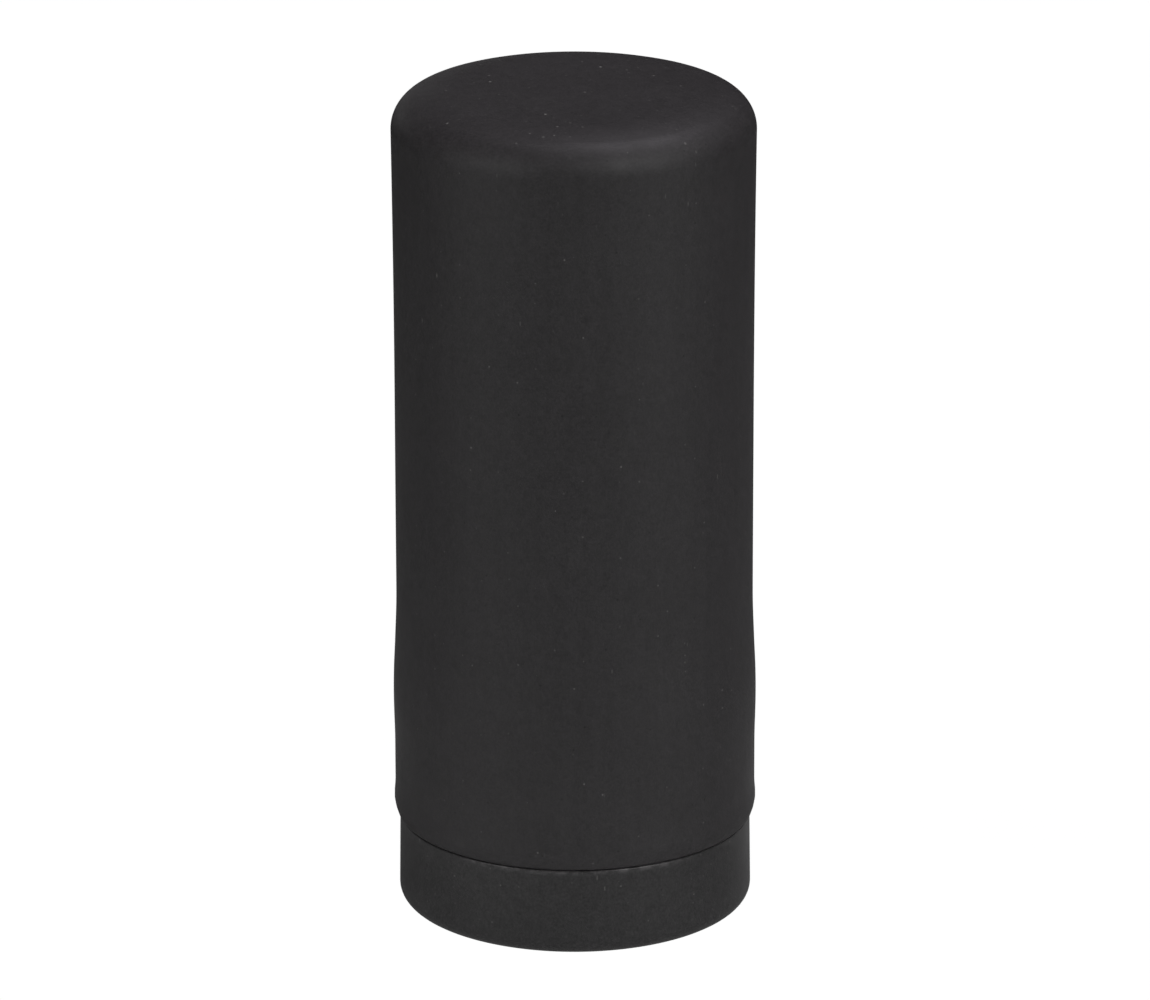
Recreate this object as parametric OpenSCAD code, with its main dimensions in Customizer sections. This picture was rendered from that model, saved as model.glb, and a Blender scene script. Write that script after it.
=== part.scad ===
// Rubber rock tumbler barrel with an expanding plug lid.
// The barrel stands upside down on its lid, closed end up, as it is stored.
// Millimetres. +Z is up, and the origin is the centre of the lid's foot.

/* [Barrel] */
// Overall length, from the lid's foot to the closed end
overall_length = 271.6; // [220:0.2:300]
// Radius of the straight running track that rides on the rollers
track_r = 57.4; // [56:0.1:58]
// Rubber thickness behind the flats of the cavity
wall = 10.8; // [10:0.2:13]
// Rubber thickness of the closed end
end_wall = 15; // [12:1:20]
// Radius of the rounded shoulder at the closed end
shoulder_r = 11; // [8:0.5:13]
// Radius of the softer curve between the shoulder and the flat end
crown_r = 40; // [12:1:60]
// Number of flats inside, which lift and turn the load
cavity_sides = 10; // [8:1:12]
// How much the closed end flares past the track radius
end_flare = 0.54; // [0:0.02:0.8]
// How much the wall swells over the whole plug
plug_swell = 0.8; // [0:0.1:1.2]
// Extra swelling over each of the plug's two beads
bead_swell = 0.32; // [0:0.02:0.5]

/* [Lid] */
// Radius of the lid at its foot
lid_r = 57; // [55.5:0.1:57.5]
// Height of the lid below the barrel's mouth
lid_h = 29; // [27:0.2:32]
// Gap between the lid and the barrel's mouth
seam_gap = 0.4; // [0.4:0.1:1.5]
// Radius of the rounding round the foot
foot_round = 4.4; // [3:0.2:7]
// Radius of the recess that hides the nut
recess_r = 33.5; // [33:0.5:36]
// Depth of the recess
recess_depth = 18; // [17.6:0.2:19]

/* [Plug] */
// Length of the rubber plug inside the mouth
plug_length = 41; // [36:0.2:44]
// Radius of the plug between its beads
plug_r = 47.3; // [46.5:0.1:47.3]
// Height of the beads round the plug
plug_bead = 0.7; // [0.2:0.1:0.7]
// Radius of the hollow through the plug
plug_hollow_r = 32; // [32:0.5:34]

/* [Hardware] */
// Radius of the stud over its thread
stud_r = 3.95; // [3.9:0.05:4]
// Thread pitch
pitch = 1.25; // [1:0.25:1.25]
// Radius of the knurled nut
nut_r = 14; // [12:0.5:16]
// Number of knurls round the nut
knurls = 40; // [24:2:48]
// Radius of the inner plate that squeezes the plug
plate_r = 44.5; // [43:0.5:45]

/* [Hidden] */
$fn = 96;
eps = 0.01;
profile_step = 3;
arc_steps = 12;

// Thickness of the plates and washers, and height of the nut
inner_plate_t = 2.5;
pressure_plate_t = 2;
slip_washer_t = 1;
flat_washer_t = 1.6;
nut_h = 9.4;
nut_collar_h = 2.4;

// Heights along the axis
mouth_z = lid_h + seam_gap;
plug_top = lid_h + plug_length;
plate_top = plug_top + inner_plate_t;
seat_z = plate_top + 4;
crown_tilt = 19;
shoulder_z = overall_length - crown_r - (shoulder_r - crown_r) * cos(crown_tilt);
cavity_end = overall_length - end_wall;
pressure_plate_z = recess_depth - pressure_plate_t;
slip_washer_z = pressure_plate_z - slip_washer_t;
flat_washer_z = slip_washer_z - flat_washer_t;
nut_z = flat_washer_z - nut_h;

// Barrel radii and where its outside changes
mouth_r = 48.3;
mouth_chamfer = 1.5;
cavity_apothem = track_r - wall;
cavity_round = 12;
lip_height = 5;
lip_round = 14.3;
edge_break = 0.5;
swell_end = plug_top + 7;
swell_fade = 28;
lip_bead_reach = 5;
plate_bead_reach = 17;
flare_start = 165;

// Lid details
lid_draft = 0.3;
lid_edge = 0.6;
foot_chamfer = 2;
spigot_r = plug_hollow_r - 0.3;
spigot_h = 5;
spigot_chamfer = 1;
web_bore = stud_r + 0.55;
seal_section = 1.5;
seal_gap = 0.05;
seal_r = stud_r + seal_gap + seal_section;

// Plug details
plug_bead_in = 6;
plug_bead_reach = 6;
plug_step = 1.5;

// Hardware details
washer_r = 12;
washer_bore = stud_r + 0.25;
pressure_plate_r = recess_r - 1.5;
pressure_plate_bore = stud_r + 0.35;
nut_bore = stud_r + 0.08;
nut_edge = 1;
nut_collar_r = 9;
knurl_depth = 0.7;
stud_end = nut_z - 1.6;
stud_point = 1;
thread_end = 34;
thread_depth = 0.7;
neck = 2 * stud_r;
neck_h = 3;
neck_gap = 0.15;
head_r = 9.5;
head_h = 4;
plate_edge = 0.6;
cup_r = plug_hollow_r - 0.5;
cup_h = 4;
cup_wall = 2.5;
facing_t = 3.2;
facing_r = 45.8;
facing_edge = 1.6;
boss_r = 13.5;
boss_wall = 2.8;
boss_edge = 2;

function smooth(t) = t <= 0 ? 0 : t >= 1 ? 1 : t * t * (3 - 2 * t);
function bump(z, at, reach) = pow(max(0, 1 - pow((z - at) / reach, 2)), 2);

// Points along an arc of radius r round c, from angle a to angle b
function arc(c, r, a, b, steps = arc_steps) =
    [for (i = [0:steps]) let (t = a + (b - a) * i / steps) c + r * [cos(t), sin(t)]];

// Outside radius of the barrel: a straight track, swollen where the plug fills
// the mouth, flared a little towards the closed end, and curled in at the lip
function swell(z) = plug_swell * (1 - smooth((z - swell_end) / swell_fade))
    + bead_swell * (bump(z, mouth_z + lip_height, lip_bead_reach)
        + bump(z, plug_top, plate_bead_reach));
function flare(z) =
    end_flare * pow(max(0, z - flare_start) / (shoulder_z - flare_start), 2);
function curl(z) = let (below = max(0, mouth_z + lip_height - z))
    lip_round - sqrt(lip_round * lip_round - below * below);
function barrel_r(z) = track_r + swell(z) + flare(z) - curl(z);

// The closed end: a tight shoulder that meets a softer crown at crown_tilt
function closed_end() = let (centre = [barrel_r(shoulder_z) - shoulder_r, shoulder_z],
        turn = 90 - crown_tilt,
        crown_centre = centre + (shoulder_r - crown_r) * [cos(turn), sin(turn)])
    concat(arc(centre, shoulder_r, turn / arc_steps, turn, arc_steps - 1),
        arc(crown_centre, crown_r, turn + crown_tilt / 4, 90, 3));

function plug_outside(z) = plug_r
    + plug_bead * (bump(z, lid_h + plug_bead_in, plug_bead_reach)
        + bump(z, plug_top - plug_bead_in, plug_bead_reach));

// Turned solid from an outline of [radius, height] points
module turned(outline) {
    rotate_extrude() polygon(outline);
}

// Flat ring with both outside edges broken
module washer(r, hole, z, t, edge = 0.3) {
    difference() {
        turned([[0, z], [r - edge, z], [r, z + edge], [r, z + t - edge],
                [r - edge, z + t], [0, z + t]]);
        translate([0, 0, z - 1]) cylinder(r = hole, h = t + 2);
    }
}

// The cavity: a prism with flats, under a rounded end
module cavity() {
    corner_r = cavity_apothem / cos(180 / cavity_sides);
    intersection() {
        translate([0, 0, seat_z - eps])
            linear_extrude(cavity_end - seat_z + 1)
                circle(r = corner_r, $fn = cavity_sides);
        turned(concat([[0, seat_z - 1], [corner_r + 1, seat_z - 1]],
            arc([corner_r + 1 - cavity_round, cavity_end - cavity_round],
                cavity_round, 0, 90),
            [[0, cavity_end]]));
    }
}

module barrel_shell() {
    lip_r = barrel_r(mouth_z);
    wall_zs = [for (z = [mouth_z + edge_break:profile_step / 3:mouth_z + lip_height]) z];
    body_steps = ceil((shoulder_z - mouth_z - lip_height) / profile_step);
    body_zs = [for (i = [1:body_steps]) mouth_z + lip_height
        + (shoulder_z - mouth_z - lip_height) * i / body_steps];
    color("#302f30") difference() {
        turned(concat([[0, mouth_z], [lip_r - edge_break, mouth_z]],
            [for (z = concat(wall_zs, body_zs)) [barrel_r(z), z]],
            closed_end(),
            [[0, overall_length]]));
        translate([0, 0, mouth_z - 1]) cylinder(r = mouth_r, h = seat_z - mouth_z + 1);
        translate([0, 0, mouth_z - eps])
            cylinder(r1 = mouth_r + mouth_chamfer, r2 = mouth_r, h = mouth_chamfer);
        cavity();
    }
}

module lid_cap() {
    top_r = lid_r - lid_draft;
    color("#333233") difference() {
        turned(concat([[0, 0]],
            arc([lid_r - foot_round, foot_round], foot_round, -90, 0),
            arc([top_r - lid_edge, lid_h - lid_edge], lid_edge, 0, 90, 4),
            [[spigot_r, lid_h], [spigot_r, lid_h + spigot_h - spigot_chamfer],
             [spigot_r - spigot_chamfer, lid_h + spigot_h], [0, lid_h + spigot_h]]));
        translate([0, 0, -1]) cylinder(r = recess_r, h = recess_depth + 1);
        translate([0, 0, -eps])
            cylinder(r1 = recess_r + foot_chamfer, r2 = recess_r, h = foot_chamfer);
        translate([0, 0, -1]) cylinder(r = web_bore, h = lid_h + spigot_h + 2);
        translate([0, 0, recess_depth - eps])
            cylinder(r = seal_r + seal_section + seal_gap, h = 2 * seal_section + 2 * seal_gap);
    }
}

// O-ring that keeps slurry from running down the stud
module stud_seal() {
    color("#1c1c1c") translate([0, 0, recess_depth + seal_gap + seal_section])
        rotate_extrude() translate([seal_r, 0]) circle(r = seal_section, $fn = 32);
}

module pressure_plate() {
    color("#b9bcc0")
        washer(pressure_plate_r, pressure_plate_bore, pressure_plate_z, pressure_plate_t, 0.4);
}

module slip_washer() {
    color("#e6e3da") washer(washer_r, washer_bore, slip_washer_z, slip_washer_t);
}

module flat_washer() {
    color("#b9bcc0") washer(washer_r, washer_bore, flat_washer_z, flat_washer_t);
}

// Rubber sleeve with a bead at each end, squeezed between the lid and the plate
module sealing_plug() {
    steps = ceil(plug_length / plug_step);
    color("#2b2a2b") difference() {
        turned(concat([[0, lid_h]],
            [for (i = [0:steps]) let (z = lid_h + plug_length * i / steps)
                [plug_outside(z), z]],
            [[0, plug_top]]));
        translate([0, 0, lid_h - 1]) cylinder(r = plug_hollow_r, h = plug_length + 2);
    }
}

module knurled_nut() {
    knurl_h = nut_h - nut_collar_h;
    color("#c4c6c9") translate([0, 0, nut_z]) difference() {
        union() {
            intersection() {
                linear_extrude(knurl_h)
                    polygon([for (i = [0:2 * knurls - 1])
                        (nut_r - knurl_depth * (i % 2))
                        * [cos(180 * i / knurls), sin(180 * i / knurls)]]);
                turned([[0, 0], [nut_r - nut_edge, 0], [nut_r + eps, nut_edge],
                        [nut_r + eps, knurl_h - nut_edge], [nut_r - nut_edge, knurl_h],
                        [0, knurl_h]]);
            }
            translate([0, 0, knurl_h - eps]) cylinder(r = nut_collar_r, h = nut_collar_h + eps);
        }
        translate([0, 0, -1]) cylinder(r = nut_bore, h = nut_h + 2);
        translate([0, 0, -eps]) cylinder(r1 = nut_bore + nut_edge, r2 = nut_bore, h = nut_edge);
    }
}

// Carriage-head stud: domed head, square neck, and thread drawn as rings
module draw_stud() {
    dome_r = (head_r * head_r + head_h * head_h) / (2 * head_h);
    dome_angle = asin(head_r / dome_r);
    turns = floor((thread_end - stud_end - stud_point) / pitch);
    neck_z = plate_top - neck_h;
    color("#a9acb0") {
        turned(concat([[0, stud_end], [stud_r - stud_point, stud_end]],
            [for (i = [0:turns - 1]) let (z = stud_end + stud_point + i * pitch)
                each [[stud_r, z + 0.08 * pitch], [stud_r, z + 0.24 * pitch],
                      [stud_r - thread_depth, z + 0.56 * pitch]]],
            [[stud_r, thread_end], [stud_r, neck_z], [0, neck_z]]));
        translate([-neck / 2, -neck / 2, neck_z - eps]) cube([neck, neck, neck_h + 2 * eps]);
        turned(concat([[0, plate_top]],
            arc([0, plate_top + head_h - dome_r], dome_r, 90 - dome_angle, 90),
            [[0, plate_top + head_h]]));
    }
}

// Steel plate with a pressed cup that centres the plug, square-holed for the neck
module inner_plate() {
    cup_z = plug_top - cup_h;
    hole = neck + 2 * neck_gap;
    color("#b3b6ba") difference() {
        turned([[0, cup_z], [cup_r - 1, cup_z], [cup_r, cup_z + 1], [cup_r, plug_top],
                [plate_r - plate_edge, plug_top], [plate_r, plug_top + plate_edge],
                [plate_r, plate_top - plate_edge], [plate_r - plate_edge, plate_top],
                [0, plate_top]]);
        translate([0, 0, cup_z - 1]) cylinder(r = cup_r - cup_wall, h = cup_h + 1 + eps);
        translate([-hole / 2, -hole / 2, plug_top - 1]) cube([hole, hole, inner_plate_t + 2]);
    }
}

// Rubber cover that shields the plate and the stud's head from the grit
module plate_facing() {
    boss_top = plate_top + head_h + boss_wall;
    color("#262526") difference() {
        turned(concat([[0, plate_top], [facing_r - edge_break, plate_top],
                       [facing_r, plate_top + edge_break]],
            arc([facing_r - facing_edge, plate_top + facing_t - facing_edge],
                facing_edge, 0, 90, 5),
            [[boss_r + boss_edge, plate_top + facing_t]],
            arc([boss_r - boss_edge, boss_top - boss_edge], boss_edge, 0, 90, 5),
            [[0, boss_top]]));
        translate([0, 0, plate_top - 1]) cylinder(r = head_r + 0.1, h = head_h + 1.1);
    }
}

lid_cap();
stud_seal();
pressure_plate();
slip_washer();
flat_washer();
sealing_plug();
knurled_nut();
draw_stud();
inner_plate();
plate_facing();
barrel_shell();
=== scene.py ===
"""Rock tumbler barrel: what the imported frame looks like. Metres, +Z up, camera side -Y."""
import math

import bpy
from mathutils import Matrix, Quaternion, Vector, noise


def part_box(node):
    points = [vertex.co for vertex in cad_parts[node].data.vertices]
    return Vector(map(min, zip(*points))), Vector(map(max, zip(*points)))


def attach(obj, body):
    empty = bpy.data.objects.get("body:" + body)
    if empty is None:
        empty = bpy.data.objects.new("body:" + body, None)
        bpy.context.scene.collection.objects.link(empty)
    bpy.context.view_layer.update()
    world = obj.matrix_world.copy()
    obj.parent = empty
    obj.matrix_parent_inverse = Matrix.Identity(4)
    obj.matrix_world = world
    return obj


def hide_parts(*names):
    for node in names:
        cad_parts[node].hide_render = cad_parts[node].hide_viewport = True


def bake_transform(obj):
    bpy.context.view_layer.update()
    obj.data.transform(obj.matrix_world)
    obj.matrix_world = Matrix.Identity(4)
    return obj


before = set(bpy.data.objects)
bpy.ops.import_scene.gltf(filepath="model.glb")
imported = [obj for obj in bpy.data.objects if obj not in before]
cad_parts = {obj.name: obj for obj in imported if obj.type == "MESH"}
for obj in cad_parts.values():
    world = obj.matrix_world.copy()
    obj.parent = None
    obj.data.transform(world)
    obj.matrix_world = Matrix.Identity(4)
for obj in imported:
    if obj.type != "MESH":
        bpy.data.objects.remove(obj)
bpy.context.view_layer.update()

MM = 0.001
TURN = 2 * math.pi

# Points round a large turned piece
ROUND = 288

# ---------------------------------------------------------------- places, from the frame
BARREL_LOW, BARREL_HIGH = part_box("barrel_shell")
LID_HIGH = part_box("lid_cap")[1]
PLUG_LOW, PLUG_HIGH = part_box("sealing_plug")
PRESSURE_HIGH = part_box("pressure_plate")[1]
INNER_LOW, INNER_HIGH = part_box("inner_plate")
FACING_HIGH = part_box("plate_facing")[1]
NUT_LOW, NUT_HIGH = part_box("knurled_nut")
STUD_LOW, STUD_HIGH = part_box("draw_stud")

MOUTH_Z = BARREL_LOW.z
TOP_Z = BARREL_HIGH.z
LID_H = PLUG_LOW.z
PLUG_TOP = PLUG_HIGH.z
PLATE_TOP = INNER_HIGH.z
RECESS_Z = PRESSURE_HIGH.z

# ---------------------------------------------------------------- sizes
# Barrel, outside
TRACK_R = 57.4 * MM
SHOULDER_R = 11 * MM
CROWN_R = 40 * MM
CROWN_TILT = math.radians(19)
SHOULDER_Z = TOP_Z - CROWN_R - (SHOULDER_R - CROWN_R) * math.cos(CROWN_TILT)
END_FLARE = 0.54 * MM
FLARE_START = 165 * MM
PLUG_SWELL = 0.8 * MM
SWELL_END = PLUG_TOP + 7 * MM
SWELL_FADE = 28 * MM
BEAD_SWELL = 0.32 * MM
LIP_BEAD_REACH = 5 * MM
PLUG_BEAD_REACH = 17 * MM
LIP_HEIGHT = 5 * MM
LIP_ROUND = 14.3 * MM

# Barrel, inside
MOUTH_R = 48.3 * MM
MOUTH_CHAMFER = 1.5 * MM
SEAT_Z = PLATE_TOP + 4 * MM
CAVITY_SIDES = 10
CAVITY_APOTHEM = 46.6 * MM
CAVITY_CORNER = 3 * MM
CAVITY_ROUND = 12 * MM
CAVITY_END = TOP_Z - 15 * MM

# Lid
LID_R = LID_HIGH.x
LID_DRAFT = 0.3 * MM
LID_EDGE = 0.6 * MM
FOOT_ROUND = 4.4 * MM
RECESS_R = 33.5 * MM
RECESS_CORNER = 1.2 * MM
RECESS_LIP = 2 * MM
WEB_BORE = 4.5 * MM
SPIGOT_R = 31.7 * MM

# Plug
PLUG_R = 47.3 * MM
PLUG_BEAD = 0.7 * MM
BEAD_REACH = 6 * MM
PLUG_HOLLOW_R = 32 * MM

# Stud
STUD_R = 3.95 * MM
PITCH = 1.25 * MM
THREAD_DEPTH = 0.7 * MM
THREAD_END = 34 * MM

# Nut
KNURLS = 40
KNURL_DEPTH = 0.7 * MM
NUT_BORE = 4.03 * MM
NUT_SHOULDER_H = 2.4 * MM
NUT_SHOULDER_R = 9 * MM


# ---------------------------------------------------------------- outlines
def smooth(t):
    """0 to 1 with a soft start and end."""
    t = min(1, max(0, t))
    return t * t * (3 - 2 * t)


def bump(z, middle, reach):
    """A soft hump: 1 at its middle height, and 0 from reach away."""
    return max(0, 1 - ((z - middle) / reach) ** 2) ** 2


def spread(start, end, count):
    """count + 1 even steps from start to end."""
    return [start + (end - start) * i / count for i in range(count + 1)]


def arc(centre_r, centre_z, radius, start, end, steps):
    """Outline points along an arc, angles in degrees from the horizontal."""
    angles = [math.radians(a) for a in spread(start, end, steps)]
    return [(centre_r + radius * math.cos(a), centre_z + radius * math.sin(a)) for a in angles]


def line(r0, z0, r1, z1, steps):
    """Outline points along a straight stretch."""
    return [(r0 + (r1 - r0) * t, z0 + (z1 - z0) * t) for t in spread(0, 1, steps)]


def wall_radius(z):
    """Outside radius of the barrel: swollen over the plug, flared at the end, curled in at the lip."""
    swell = PLUG_SWELL * (1 - smooth((z - SWELL_END) / SWELL_FADE))
    lip_bead = bump(z, MOUTH_Z + LIP_HEIGHT, LIP_BEAD_REACH)
    beads = BEAD_SWELL * (lip_bead + bump(z, PLUG_TOP, PLUG_BEAD_REACH))
    flare = END_FLARE * (max(0, z - FLARE_START) / (SHOULDER_Z - FLARE_START)) ** 2
    below = max(0, MOUTH_Z + LIP_HEIGHT - z)
    curl = LIP_ROUND - math.sqrt(LIP_ROUND ** 2 - below ** 2)
    return TRACK_R + swell + beads + flare - curl


# ---------------------------------------------------------------- mesh making
def ring(radius, z, count=ROUND):
    """A ring of points; radius may be a number or a function of the angle."""
    if not callable(radius) and radius == 0:
        return [(0, 0, z)]
    at = radius if callable(radius) else lambda angle: radius
    angles = [TURN * i / count for i in range(count)]
    return [(at(a) * math.cos(a), at(a) * math.sin(a), z) for a in angles]


def band(start_a, count_a, start_b, count_b):
    """Faces between two rings of points, triangles where one ring is a single point."""
    faces = []
    for k in range(max(count_a, count_b)):
        a0, a1 = start_a + k % count_a, start_a + (k + 1) % count_a
        b0, b1 = start_b + k % count_b, start_b + (k + 1) % count_b
        corners = (a0, a1, b1, b0)
        faces.append([v for i, v in enumerate(corners) if v not in corners[:i]])
    return faces


def skin(name, rings, closed=False, sharp=35):
    """A mesh over rings of points. A ring of one point closes an end.
    If closed, the last ring is joined to the first. Edges over sharp degrees stay crisp."""
    points = [p for loop in rings for p in loop]
    starts = [0]
    for loop in rings:
        starts.append(starts[-1] + len(loop))
    pairs = [(i, i + 1) for i in range(len(rings) - 1)]
    if closed:
        pairs.append((len(rings) - 1, 0))
    faces = []
    for a, b in pairs:
        faces += band(starts[a], len(rings[a]), starts[b], len(rings[b]))
    mesh = bpy.data.meshes.new(name)
    mesh.from_pydata(points, [], faces)
    mesh.validate()
    mesh.shade_smooth()
    mesh.set_sharp_from_angle(angle=math.radians(sharp))
    piece = bpy.data.objects.new(name, mesh)
    bpy.context.scene.collection.objects.link(piece)
    return piece


def turned(name, outline, closed=False, count=ROUND):
    """A piece turned from an outline of (radius, height) points."""
    return skin(name, [ring(r, z, count) for r, z in outline], closed)


def finish_piece(piece, body, node, material):
    """Gives a piece its material and its place in the record."""
    piece.data.materials.append(material)
    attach(piece, body)
    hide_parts(node)


# ---------------------------------------------------------------- materials
WHITE = (1, 1, 1, 1)
BLACK = (0, 0, 0, 1)
PALE_DUST = (0.05, 0.049, 0.0475, 1)
SETTLED_DUST = (0.09, 0.088, 0.085, 1)
PIT = (0.002, 0.002, 0.002, 1)
NOISE_LOW = 0.3
NOISE_HIGH = 0.7


class Graph:
    """A small helper for building one material's nodes. Scales are in waves or cells per metre."""

    def __init__(self, name):
        self.material = bpy.data.materials.new(name)
        self.material.use_nodes = True
        self.tree = self.material.node_tree
        self.shader = self.tree.nodes["Principled BSDF"]
        self.place = self.node("ShaderNodeTexCoord").outputs["Object"]

    def node(self, kind, inputs=None, **settings):
        made = self.tree.nodes.new(kind)
        for key, value in settings.items():
            setattr(made, key, value)
        for key, value in (inputs or {}).items():
            if isinstance(value, bpy.types.NodeSocket):
                self.tree.links.new(value, made.inputs[key])
            else:
                made.inputs[key].default_value = value
        return made

    def stretched(self, x, y, z):
        """The place on the piece, scaled by its own number along each axis."""
        made = self.node("ShaderNodeMapping", {"Vector": self.place, "Scale": (x, y, z)})
        return made.outputs[0]

    def along(self, axis):
        """The place on the piece along one axis: 0, 1 or 2."""
        return self.node("ShaderNodeSeparateXYZ", {"Vector": self.place}).outputs[axis]

    def distance_from(self, point):
        made = self.node("ShaderNodeVectorMath", {0: self.place, 1: point}, operation="DISTANCE")
        return made.outputs["Value"]

    def distance_from_axis(self):
        made = self.node("ShaderNodeVectorMath", {0: self.stretched(1, 1, 0)}, operation="LENGTH")
        return made.outputs["Value"]

    def noise(self, scale, detail=3, rough=0.55, at=None):
        settings = {"Vector": at or self.place, "Scale": scale, "Detail": detail, "Roughness": rough}
        return self.node("ShaderNodeTexNoise", settings).outputs["Fac"]

    def ramp(self, value, low, high, out_low, out_high):
        """value taken from low..high to out_low..out_high, and held there beyond."""
        made = self.node("ShaderNodeMapRange", {"Value": value, "From Min": low, "From Max": high,
                                                "To Min": out_low, "To Max": out_high})
        return made.outputs[0]

    def from_noise(self, value, out_low, out_high):
        """Noise, which mostly keeps between NOISE_LOW and NOISE_HIGH, taken to out_low..out_high."""
        return self.ramp(value, NOISE_LOW, NOISE_HIGH, out_low, out_high)

    def math(self, operation, a, b):
        return self.node("ShaderNodeMath", {0: a, 1: b}, operation=operation).outputs[0]

    def product(self, first, *others):
        for other in others:
            first = self.math("MULTIPLY", first, other)
        return first

    def mix(self, factor, a, b, blend="MIX"):
        made = self.node("ShaderNodeMix", {0: factor, 6: a, 7: b}, data_type="RGBA", blend_type=blend)
        return made.outputs[2]

    def shaded(self, tone, shade):
        """A colour made lighter or darker by shade."""
        return self.mix(1.0, (*tone, 1), shade, "MULTIPLY")

    def specks(self, place, scale, share, fade=2.0):
        """Small soft spots in about this share of the cells, 1 at the middles of the strongest."""
        settings = {"Vector": place, "Scale": scale, "Randomness": 1.0}
        cells = self.node("ShaderNodeTexVoronoi", settings)
        near = self.ramp(cells.outputs["Distance"], 0.06, 0.13, 1.0, 0.0)
        chosen = self.node("ShaderNodeSeparateColor", {"Color": cells.outputs["Color"]}).outputs[0]
        strength = self.math("POWER", self.ramp(chosen, 1 - share, 1.0, 0.0, 1.0), fade)
        return self.math("MULTIPLY", near, strength)

    def bump(self, height, distance, under=None):
        inputs = {"Height": height, "Distance": distance, "Strength": 1.0}
        if under is not None:
            inputs["Normal"] = under
        return self.node("ShaderNodeBump", inputs).outputs[0]

    def set(self, name, value):
        if isinstance(value, bpy.types.NodeSocket):
            self.tree.links.new(value, self.shader.inputs[name])
        else:
            self.shader.inputs[name].default_value = value

    def glow(self, strength):
        """Makes the material plain white light of this strength."""
        self.set("Base Color", BLACK)
        self.set("Specular IOR Level", 0.0)
        self.set("Emission Color", WHITE)
        self.set("Emission Strength", strength)


def mottled(g, tone, grain, streaks):
    """Rubber's own colour: cloudy, mottled, faintly streaked along the mould and finely grained."""
    cloud = g.from_noise(g.noise(34, 3, 0.5), 1 - 0.03, 1 + 0.03)
    mottle = g.from_noise(g.noise(360, 4, 0.62), 1 - 0.45 * grain, 1 + 0.45 * grain)
    drawn = g.from_noise(g.noise(1, 3, 0.6, g.stretched(240, 240, 12)), 1 - streaks, 1 + streaks)
    fine = g.from_noise(g.noise(1250, 2, 0.6), 1 - grain, 1 + grain)
    return g.shaded(tone, g.product(cloud, mottle, drawn, fine))


def dusted(g, base, dust):
    """base with pale specks, pale dashes along the height, and dark pits."""
    specks = g.specks(g.place, 340, dust)
    dashes = g.specks(g.stretched(420, 420, 130), 1, 0.3 * dust)
    pits = g.specks(g.stretched(290, 310, 300), 1, 0.65 * dust, fade=0.5)
    base = g.mix(g.math("MAXIMUM", specks, dashes), base, PALE_DUST)
    return g.mix(pits, base, PIT)


def settled(g, dusty_above):
    """Where dust has settled: specks that grow stronger from dusty_above to the closed end."""
    return g.product(g.specks(g.place, 230, 0.5), g.ramp(g.along(2), dusty_above, TOP_Z, 0.0, 1.0))


def worn_and_highlit(g, worn_highlit_above):
    """Where the front of the lid's top edge is worn, in patches; this mask also places a painted
    highlight.
    """
    high = g.ramp(g.along(2), worn_highlit_above, worn_highlit_above + 1.2 * MM, 0.0, 1.0)
    rim = g.ramp(g.distance_from_axis(), LID_R - 1.5 * MM, LID_R - 0.8 * MM, 0.0, 1.0)
    # Only the front of the edge, on the camera's side, gets the painted highlight.
    front = g.ramp(g.along(1), -40 * MM, -49 * MM, 0.0, 1.0)
    patches = g.ramp(g.noise(260, 4, 0.7), 0.42, 0.6, 0.1, 1.0)
    return g.product(high, rim, front, patches)


def rubber(name, tone, rough, grain, streaks, dust, worn_highlit_above=None, dusty_above=None):
    """Matte black moulded rubber, with specks and dashes of dust.
    Above the height where its edge wears, the front of the edge is worn smoother and painted lighter as a
    highlight, and more dust lies from dusty_above up."""
    # Painted highlight: the first number lightens the worn edge's colour as if it caught the light; the
    # second makes it smoother, which is real wear.
    painted_highlight_gain, smoother = 3.2, 0.7
    g = Graph(name)
    base = dusted(g, mottled(g, tone, grain, streaks), dust)
    finish = g.from_noise(g.noise(60, 4, 0.6), rough - 0.04, rough + 0.04)
    if dusty_above is not None:
        base = g.mix(settled(g, dusty_above), base, SETTLED_DUST)
    if worn_highlit_above is not None:
        wear_and_highlight = worn_and_highlit(g, worn_highlit_above)
        # Painted highlight: the worn front edge is coloured lighter where light would catch it.
        base = g.mix(wear_and_highlight, base, (*[painted_highlight_gain * c for c in tone], 1))
        finish = g.product(finish, g.ramp(wear_and_highlight, 0.0, 1.0, 1.0, smoother))
    g.set("Base Color", base)
    g.set("Roughness", finish)
    peel = g.bump(g.noise(240, 2, 0.5), 0.04 * MM)
    g.set("Normal", g.bump(g.noise(1500, 3, 0.6), 0.02 * MM, peel))
    return g.material


def metal(name, tone, rough, turned_marks):
    """Steel with fine turning marks round the axis, a cloudy finish, lightly worn."""
    g = Graph(name)
    path = g.node("ShaderNodeCombineXYZ", {0: g.distance_from_axis(), 1: 0.0, 2: g.along(2)}).outputs[0]
    marks = g.noise(3200, 2, 0.5, path)
    cloud = g.noise(140, 4, 0.6)
    g.set("Base Color", g.shaded(tone, g.from_noise(cloud, 0.82, 1.06)))
    g.set("Metallic", 0.7)
    g.set("Roughness", g.from_noise(cloud, rough - 0.06, rough + 0.1))
    g.set("Normal", g.bump(marks, turned_marks))
    return g.material


def nylon(name):
    """Off-white nylon, a little translucent, with moulding haze."""
    g = Graph(name)
    haze = g.from_noise(g.noise(260, 4, 0.6), 0.92, 1.03)
    g.set("Base Color", g.shaded((0.72, 0.70, 0.63), haze))
    g.set("Roughness", g.from_noise(g.noise(500, 3, 0.5), 0.38, 0.5))
    g.set("Subsurface Weight", 0.15)
    g.set("Subsurface Scale", 0.001)
    g.set("Normal", g.bump(g.noise(1800, 2, 0.5), 0.01 * MM))
    return g.material


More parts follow.
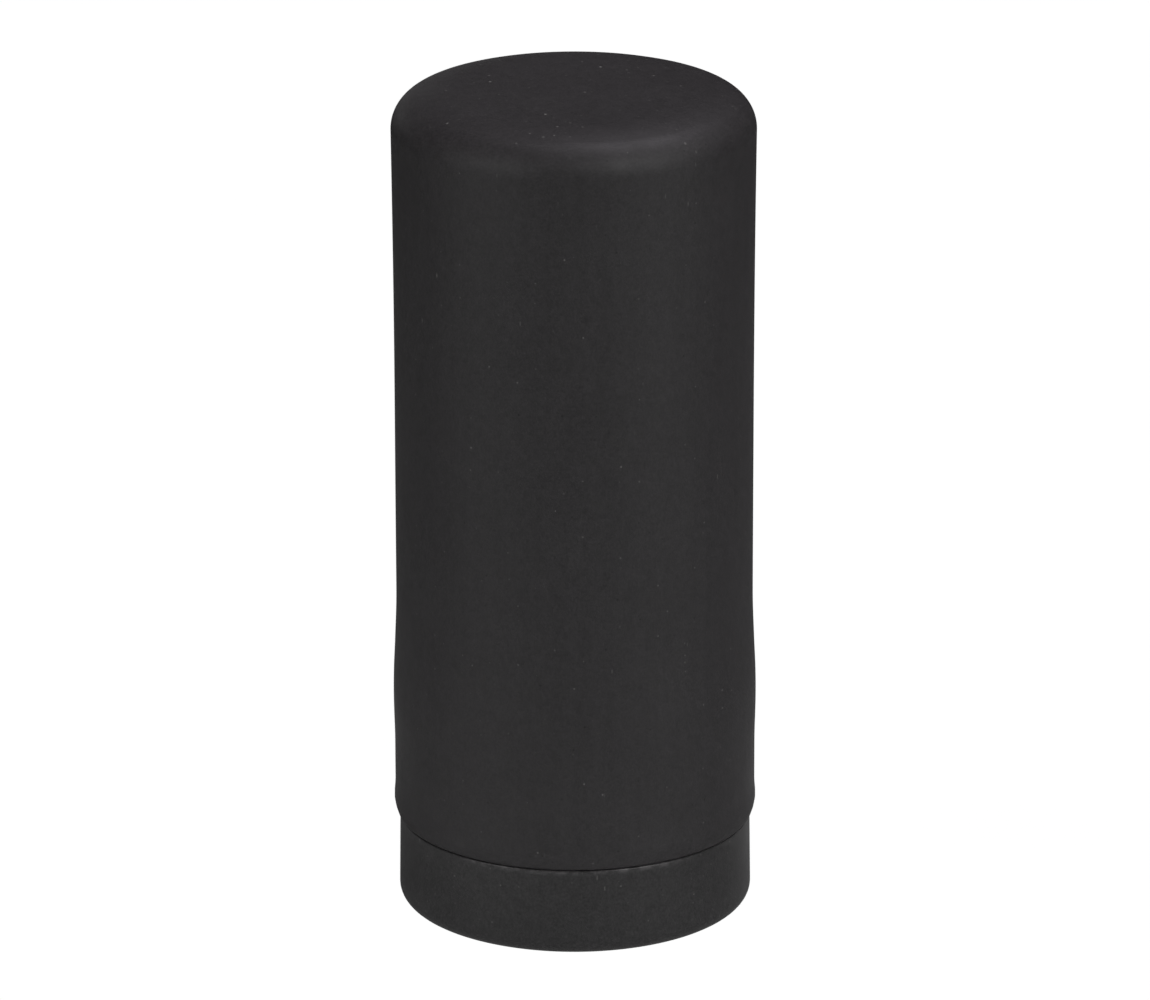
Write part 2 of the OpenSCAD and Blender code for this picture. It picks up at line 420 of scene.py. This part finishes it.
BARREL_RUBBER = rubber("barrel_rubber", (0.0115, 0.0101, 0.0111), rough=0.57, grain=0.22,
                       streaks=0.05, dust=0.4, dusty_above=TOP_Z - 8 * MM)
# The lid's front top edge is worn smoother and carries a painted highlight.
LID_RUBBER = rubber("lid_rubber", (0.0121, 0.0115, 0.0119), rough=0.42, grain=0.34,
                    streaks=0.02, dust=0.8, worn_highlit_above=LID_H - 1.8 * MM)
PLUG_RUBBER = rubber("plug_rubber", (0.0100, 0.0097, 0.0100), rough=0.5, grain=0.12,
                     streaks=0.02, dust=0.06)
SEAL_RUBBER = rubber("seal_rubber", (0.0080, 0.0080, 0.0080), rough=0.35, grain=0.05,
                     streaks=0.0, dust=0.0)
PLATE_STEEL = metal("plate_steel", (0.58, 0.58, 0.6), rough=0.3, turned_marks=0.012 * MM)
ZINC_STEEL = metal("zinc_steel", (0.66, 0.67, 0.7), rough=0.26, turned_marks=0.006 * MM)
NYLON = nylon("nylon")


# ---------------------------------------------------------------- barrel
def cavity_radius(angle, limit):
    """Radius of the ten-sided cavity at an angle, its corners rounded, and no larger than limit."""
    side = TURN / CAVITY_SIDES
    off = (angle % side) - side / 2
    flat = CAVITY_APOTHEM / math.cos(off)
    corner_r = CAVITY_APOTHEM / math.cos(side / 2)
    centre = corner_r - CAVITY_CORNER / math.cos(side / 2)
    swing = side / 2 - abs(off)
    across = centre * math.sin(swing)
    if across >= CAVITY_CORNER:
        return min(flat, limit)
    reach = centre * math.cos(swing) + math.sqrt(CAVITY_CORNER ** 2 - across ** 2)
    return min(flat, reach, limit)


def cavity_outline(limit=math.inf):
    return lambda angle: cavity_radius(angle, limit)


def uneven(x, y, z):
    """How far moulded rubber wanders inwards from its true surface, up to 0.1 mm."""
    broad = noise.noise(Vector((x * 22, y * 22, z * 12)))
    fine = noise.noise(Vector((x * 70 + 9, y * 70, z * 25)))
    return 0.05 * MM * (1 + 0.7 * broad + 0.3 * fine)


def roughened(points):
    """Points of a wall moved slightly inwards."""
    moved = []
    for x, y, z in points:
        shrink = 1 - uneven(x, y, z) / math.hypot(x, y)
        moved.append((x * shrink, y * shrink, z))
    return moved


def lowered(points):
    """Points of the flat end moved slightly down."""
    return [(x, y, z - uneven(x, y, z)) for x, y, z in points]


def barrel_outside():
    """Rings over the closed end, down the wall and round the lip."""
    wall, lip = wall_radius(SHOULDER_Z), wall_radius(MOUTH_Z)
    turn = 90 - math.degrees(CROWN_TILT)
    lean = math.radians(turn)
    crown_r = wall - SHOULDER_R + (SHOULDER_R - CROWN_R) * math.cos(lean)
    crown_z = SHOULDER_Z + (SHOULDER_R - CROWN_R) * math.sin(lean)
    top = [(0, TOP_Z)] + line(4 * MM, TOP_Z, crown_r, TOP_Z, 9)
    top += arc(crown_r, crown_z, CROWN_R, 90, turn, 8)[1:]
    side = arc(wall - SHOULDER_R, SHOULDER_Z, SHOULDER_R, turn, 0, 18)[1:]
    side += [(wall_radius(z), z) for z in spread(SHOULDER_Z, MOUTH_Z + 0.5 * MM, 118)[1:]]
    side += [(lip - 0.15 * MM, MOUTH_Z + 0.15 * MM), (lip - 0.5 * MM, MOUTH_Z)]
    return [lowered(ring(r, z)) for r, z in top] + [roughened(ring(r, z)) for r, z in side]


def barrel_mouth():
    """Rings across the lip's face and up the round mouth to the cavity."""
    outline = line(wall_radius(MOUTH_Z) - 2 * MM, MOUTH_Z, MOUTH_R + MOUTH_CHAMFER, MOUTH_Z, 3)
    outline.append((MOUTH_R, MOUTH_Z + MOUTH_CHAMFER))
    outline += line(MOUTH_R, MOUTH_Z + 4 * MM, MOUTH_R, SEAT_Z, 8)
    return [ring(r, z) for r, z in outline]


def barrel_cavity():
    """Rings up the ten-sided cavity, round its far corner and across its end."""
    bend = CAVITY_END - CAVITY_ROUND
    corner = CAVITY_APOTHEM / math.cos(math.pi / CAVITY_SIDES) + 1 * MM
    rings = [ring(cavity_outline(), z) for z in spread(SEAT_Z, bend, 20)]
    for r, z in arc(corner - CAVITY_ROUND, bend, CAVITY_ROUND, 6, 84, 13):
        rings.append(ring(cavity_outline(r), z))
    rings += [ring(r, CAVITY_END) for r in spread(corner - CAVITY_ROUND, 4 * MM, 4)]
    return rings + [ring(0, CAVITY_END)]


def make_barrel():
    barrel = skin("barrel_shell_rubber", barrel_outside() + barrel_mouth() + barrel_cavity())
    finish_piece(barrel, "barrel", "barrel_shell", BARREL_RUBBER)


# ---------------------------------------------------------------- lid and plug
def lid_underside():
    """From the web's bore along the recess's ceiling, down its wall and out across the foot."""
    outline = line(WEB_BORE, RECESS_Z, RECESS_R - RECESS_CORNER, RECESS_Z, 6)
    outline += arc(RECESS_R - RECESS_CORNER, RECESS_Z - RECESS_CORNER, RECESS_CORNER, 75, 0, 5)
    outline += line(RECESS_R, RECESS_Z - 3 * MM, RECESS_R, 2.4 * MM, 5)
    outline += arc(RECESS_R + RECESS_LIP, RECESS_LIP, RECESS_LIP, 180, 270, 6)
    return outline + line(RECESS_R + 4 * MM, 0, LID_R - FOOT_ROUND, 0, 4)


def lid_outside():
    """Round the foot, up the rim and in across the top to the spigot."""
    top_r = LID_R - LID_DRAFT
    outline = arc(LID_R - FOOT_ROUND, FOOT_ROUND, FOOT_ROUND, -80, 0, 9)
    outline += line(LID_R, FOOT_ROUND + 1 * MM, top_r, LID_H - LID_EDGE, 14)[1:]
    outline += arc(top_r - LID_EDGE, LID_H - LID_EDGE, LID_EDGE, 12, 90, 7)
    return outline + line(top_r - 3 * MM, LID_H, SPIGOT_R, LID_H, 4)


def lid_spigot():
    """Up the spigot, across its top and down the web's bore."""
    outline = [(SPIGOT_R, LID_HIGH.z - 1 * MM), (SPIGOT_R - 1 * MM, LID_HIGH.z), (WEB_BORE, LID_HIGH.z)]
    return outline + line(WEB_BORE, LID_HIGH.z - 1 * MM, WEB_BORE, RECESS_Z + 1 * MM, 4)


def make_lid():
    outer = RECESS_R + 3 * MM
    rings = []
    for r, z in lid_underside() + lid_outside() + lid_spigot():
        rings.append(roughened(ring(r, z)) if r > outer else ring(r, z))
    lid = skin("lid_cap_rubber", rings, closed=True)
    finish_piece(lid, "lid", "lid_cap", LID_RUBBER)


def plug_radius(z):
    """Outside radius of the plug, with a bead near each end."""
    beads = bump(z, LID_H + BEAD_REACH, BEAD_REACH) + bump(z, PLUG_TOP - BEAD_REACH, BEAD_REACH)
    return PLUG_R + PLUG_BEAD * beads


def make_plug():
    edge = 0.6 * MM
    outline = [(plug_radius(z), z) for z in spread(LID_H, PLUG_TOP, 56)]
    outline += line(plug_radius(PLUG_TOP) - edge, PLUG_TOP, PLUG_HOLLOW_R, PLUG_TOP, 4)
    outline += line(PLUG_HOLLOW_R, PLUG_TOP - 1 * MM, PLUG_HOLLOW_R, LID_H + 1 * MM, 12)
    outline += line(PLUG_HOLLOW_R, LID_H, plug_radius(LID_H) - edge, LID_H, 4)
    plug = turned("sealing_plug_rubber", outline, closed=True)
    plug.data.materials.append(PLUG_RUBBER)
    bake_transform(plug)
    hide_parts("sealing_plug")


def make_seal():
    low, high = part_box("stud_seal")
    section = (high.z - low.z) / 2
    outline = arc(high.x - section, (low.z + high.z) / 2, section, 0, 345, 23)
    seal = turned("stud_seal_ring", outline, closed=True, count=96)
    finish_piece(seal, "lid", "stud_seal", SEAL_RUBBER)


# ---------------------------------------------------------------- hardware
def make_disc(name, node, hole, edge, material, grooves=0):
    """A washer or plate with rounded edges, and shallow pressed grooves round its underside."""
    half_width, depth = 1 * MM, 0.25 * MM
    low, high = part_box(node)
    outer = high.x
    outline = [(hole, high.z), (outer - edge, high.z)]
    outline += arc(outer - edge, high.z - edge, edge, 75, 0, 5)
    outline += arc(outer - edge, low.z + edge, edge, 0, -90, 6)
    for i in range(grooves):
        middle = outer - (outer - hole) * (i + 1) / (grooves + 1)
        outline += [(middle + half_width, low.z), (middle, low.z + depth), (middle - half_width, low.z)]
    outline += [(hole + edge, low.z), (hole, low.z + edge)]
    disc = turned(name, outline, closed=True, count=192)
    finish_piece(disc, "lid", node, material)


def make_pressure_plate():
    hole, edge = 4.3 * MM, 0.4 * MM
    make_disc("pressure_plate_steel", "pressure_plate", hole, edge, PLATE_STEEL, grooves=1)


def make_washers():
    hole = 4.2 * MM
    make_disc("slip_washer_nylon", "slip_washer", hole, 0.25 * MM, NYLON)
    make_disc("flat_washer_steel", "flat_washer", hole, 0.3 * MM, ZINC_STEEL)


def make_nut():
    """Knurled nut: straight knurls below a plain shoulder, bored right through."""
    outer = NUT_HIGH.x
    knurl_top = NUT_HIGH.z - NUT_SHOULDER_H
    low_round, top_round = 1.2 * MM, 1 * MM
    count = KNURLS * 12

    def knurled(reach):
        def at(angle):
            wave = abs(((angle * KNURLS / TURN) % 1) * 2 - 1)
            return min(reach, outer - KNURL_DEPTH * smooth(1 - wave))
        return at

    outline = [(NUT_BORE, z) for z in spread(NUT_HIGH.z, NUT_LOW.z + 1 * MM, 6)]
    outline += [(NUT_BORE + 0.9 * MM, NUT_LOW.z + 0.1 * MM), (NUT_BORE + 1.1 * MM, NUT_LOW.z)]
    outline.append((outer - 3 * MM, NUT_LOW.z))
    edges = arc(outer - low_round, NUT_LOW.z + low_round, low_round, -90, 0, 6)
    edges += arc(outer - top_round, knurl_top - top_round, top_round, 0, 90, 6)
    shoulder = [(NUT_SHOULDER_R + 0.6 * MM, knurl_top), (NUT_SHOULDER_R, knurl_top + 0.5 * MM)]
    shoulder += [(NUT_SHOULDER_R, NUT_HIGH.z - 0.2 * MM), (NUT_SHOULDER_R - 0.2 * MM, NUT_HIGH.z)]
    rings = [ring(r, z, count) for r, z in outline]
    rings += [ring(knurled(r), z, count) for r, z in edges]
    rings += [ring(r, z, count) for r, z in shoulder]
    nut = skin("knurled_nut_steel", rings, closed=True, sharp=40)
    finish_piece(nut, "nut", "knurled_nut", ZINC_STEEL)


def threaded(z):
    """The stud's radius round one height of its thread, which runs out into the shank."""
    def at(angle):
        phase = ((z / PITCH) + angle / TURN) % 1
        crest = smooth(abs(phase * 2 - 1) * 1.6 - 0.3)
        run_out = smooth((THREAD_END - z) / (2 * PITCH))
        chamfer = max(0, STUD_LOW.z + 1 * MM - z)
        return min(STUD_R - THREAD_DEPTH * (1 - crest) * run_out, STUD_R - chamfer)
    return at


def squared(angle):
    """The radius of the stud's square neck, its corners cut."""
    reach = STUD_R / max(abs(math.cos(angle)), abs(math.sin(angle)))
    return min(reach, STUD_R * 1.36)


def make_stud():
    """Stud with a true helical thread, a plain shank, a square neck and a domed head."""
    count = 48
    rings = [ring(0, STUD_LOW.z)]
    rings += [ring(threaded(z), z, count) for z in spread(STUD_LOW.z, THREAD_END, 260)]
    rings += [ring(STUD_R, z, count) for z in spread(THREAD_END + 1 * MM, PLATE_TOP - 3 * MM, 4)]
    rings += [ring(squared, z, count) for z in (PLATE_TOP - 2.9 * MM, PLATE_TOP)]
    head, height = STUD_HIGH.x, STUD_HIGH.z - PLATE_TOP
    dome = (head ** 2 + height ** 2) / (2 * height)
    tilt = math.degrees(math.asin(head / dome))
    rings += [ring(r, z, count) for r, z in arc(0, STUD_HIGH.z - dome, dome, 90 - tilt, 86, 8)]
    rings.append(ring(0, STUD_HIGH.z))
    stud = skin("draw_stud_steel", rings, sharp=50)
    finish_piece(stud, "draw", "draw_stud", ZINC_STEEL)


def make_inner_plate():
    """Pressed plate: a flat disc with a rounded rim, and a cup below it that centres the plug."""
    rim, edge = INNER_HIGH.x, 0.6 * MM
    cup, thick = 31.5 * MM, 2.5 * MM
    hole = 4.1 * MM
    outline = [(hole, PLATE_TOP), (rim - edge, PLATE_TOP)]
    outline += arc(rim - edge, PLATE_TOP - edge, edge, 70, 0, 4)
    outline += arc(rim - edge, PLUG_TOP + edge, edge, 0, -90, 5)
    outline += [(cup + edge, PLUG_TOP), (cup, PLUG_TOP - edge), (cup, INNER_LOW.z + 1 * MM)]
    outline += [(cup - 1 * MM, INNER_LOW.z), (cup - thick, INNER_LOW.z)]
    outline += [(cup - thick, PLUG_TOP), (hole, PLUG_TOP)]
    plate = turned("inner_plate_steel", outline, closed=True, count=192)
    finish_piece(plate, "draw", "inner_plate", PLATE_STEEL)


def make_facing():
    """Rubber cover over the inner plate, raised over the stud's head."""
    rim, rim_round = FACING_HIGH.x, 1.6 * MM
    top = PLATE_TOP + 3.2 * MM
    boss, boss_top, boss_round = 13.5 * MM, FACING_HIGH.z, 2 * MM
    head_room, ceiling = 9.6 * MM, PLATE_TOP + 4.1 * MM
    outline = [(0, boss_top), (3 * MM, boss_top), (8 * MM, boss_top)]
    outline += arc(boss - boss_round, boss_top - boss_round, boss_round, 90, 10, 7)
    outline += arc(boss + 2 * MM, top + rim_round, rim_round, 190, 270, 6)
    outline += line(boss + 5 * MM, top, rim - 4 * MM, top, 6)
    outline += arc(rim - rim_round, top - rim_round, rim_round, 90, 0, 7)
    outline += [(rim, PLATE_TOP + 0.8 * MM), (rim - 0.8 * MM, PLATE_TOP), (head_room, PLATE_TOP)]
    outline += [(head_room, ceiling), (0, ceiling)]
    facing = turned("plate_facing_rubber", outline)
    finish_piece(facing, "draw", "plate_facing", PLUG_RUBBER)


# ---------------------------------------------------------------- camera and lamps
def aim(thing, at, target):
    thing.location = at
    thing.rotation_mode = "QUATERNION"
    thing.rotation_quaternion = (Vector(target) - Vector(at)).to_track_quat("-Z", "Y")


def around(azimuth, elevation, distance, centre):
    """A place seen from centre: azimuth 0 is the camera's side and 90 its right."""
    a, e = math.radians(azimuth), math.radians(elevation)
    return centre + distance * Vector((math.sin(a) * math.cos(e), -math.cos(a) * math.cos(e), math.sin(e)))


def make_camera():
    elevation, distance = 19.1, 2.74
    roll = math.radians(-0.1)
    data = bpy.data.cameras.new("camera")
    data.lens = 267.5
    data.sensor_width = 36
    data.clip_start, data.clip_end = 0.1, 40
    camera = bpy.data.objects.new("camera", data)
    bpy.context.scene.collection.objects.link(camera)
    target = Vector((0.0002, 0, 0.1345))
    aim(camera, around(0, elevation, distance, target), target)
    camera.rotation_quaternion = camera.rotation_quaternion @ Quaternion((0, 0, 1), roll)
    bpy.context.scene.camera = camera


BOX = 0.42
LAMP_DISTANCE = 1.3
FAINT_VIOLET = (1.0, 0.96, 1.03)


def softbox(name, azimuth, elevation, watts, width=BOX, height=BOX, colour=(1, 1, 1)):
    """A soft rectangular lamp, aimed at the middle of the object."""
    light = bpy.data.lights.new(name, "AREA")
    light.shape = "RECTANGLE"
    light.size, light.size_y = width, height
    light.energy = watts
    light.color = colour
    lamp = bpy.data.objects.new(name, light)
    bpy.context.scene.collection.objects.link(lamp)
    centre = Vector((0, 0, TOP_Z / 2))
    aim(lamp, around(azimuth, elevation, LAMP_DISTANCE, centre), centre)
    return lamp


def make_studio():
    """Two lamps that only fill, and the rest, which the rubber also reflects."""
    softbox("overhead_fill", 0, 90, 12.4).visible_glossy = False
    back_fill = softbox("back_fill", 135, 8, 11.7)
    back_fill.visible_glossy = False
    back_fill.data.use_shadow = False
    softbox("right_key", 40, 30, 4.3)
    softbox("left_key", -50, 20, 2.5)
    softbox("high_back", 135, 70, 2.32, colour=FAINT_VIOLET)
    softbox("high_right", 90, 70, 1.9, colour=FAINT_VIOLET)
    softbox("far_right", 90, 40, 0.8)
    softbox("low_right", 60, 0, 1.05, height=0.25)
    softbox("low_left", -60, 0, 0.56, height=0.25)
    softbox("behind", -155, 12, 0.6, width=1.0)


# ---------------------------------------------------------------- room
FLOOR_REACH = 8
FLOOR_Z = -0.2 * MM
PAPER_Z = -0.1 * MM
SHEEN_Z = 0.5 * MM
SHEEN_REACH = 0.8


def make_world():
    """A white room that lights the object but isn't reflected in it."""
    scene = bpy.context.scene
    scene.view_settings.view_transform = "Standard"
    world = bpy.data.worlds.new("pale_room")
    scene.world = world
    world.use_nodes = True
    background = world.node_tree.nodes["Background"]
    background.inputs["Color"].default_value = WHITE
    background.inputs["Strength"].default_value = 0.95
    world.cycles_visibility.glossy = False


def make_floor():
    """The pale floor, which returns light to the object."""
    rings = [ring(0, FLOOR_Z), ring(1, FLOOR_Z, 64), ring(FLOOR_REACH, FLOOR_Z, 64)]
    floor = skin("floor", rings)
    g = Graph("pale_floor")
    g.set("Base Color", g.shaded((0.93, 0.93, 0.93), g.from_noise(g.noise(3, 2), 0.99, 1.01)))
    g.set("Roughness", 0.9)
    g.set("Specular IOR Level", 0.0)
    floor.data.materials.append(g.material)
    floor.visible_glossy = False
    return floor


def make_sheen():
    """A glowing disc seen only in reflections: a painted reflection of the floor, pale but dimmer far out,
    with painted shadows on both sides of the foot.
    """
    sheen = skin("floor_sheen", [ring(0, SHEEN_Z), ring(SHEEN_REACH, SHEEN_Z, 64)])
    g = Graph("floor_sheen")
    distance = g.distance_from((0, 0, 0))
    pale = g.ramp(distance, 0.17, 0.24, 0.42, 0.177)
    # Painted shadows in the reflection: dimmer near the foot, and in patches to its left and right.
    foot_shadow = g.ramp(distance, 0.09, 0.14, 0.75, 1.0)
    left_shadow = g.ramp(g.distance_from((-0.08, 0.03, 0)), 0.03, 0.1, 0.38, 1.0)
    right = g.ramp(g.distance_from((0.12, -0.02, 0)), 0.03, 0.09, 0.57, 1.0)
    g.glow(g.product(pale, foot_shadow, left_shadow, right))
    sheen.data.materials.append(g.material)
    sheen.visible_camera = False
    sheen.visible_diffuse = False
    sheen.visible_shadow = False
    return sheen


def make_paper():
    """The white that the camera sees where the floor is."""
    paper = skin("floor_top", [ring(0, PAPER_Z), ring(FLOOR_REACH, PAPER_Z, 64)])
    g = Graph("bright_paper")
    g.glow(g.from_noise(g.noise(3, 2), 1.0, 1.02))
    paper.data.materials.append(g.material)
    paper.visible_diffuse = False
    paper.visible_glossy = False
    paper.visible_shadow = False
    return paper


make_camera()
make_barrel()
make_lid()
make_plug()
make_seal()
make_pressure_plate()
make_washers()
make_nut()
make_stud()
make_inner_plate()
make_facing()
make_studio()
make_world()
make_floor()
make_sheen()
make_paper()
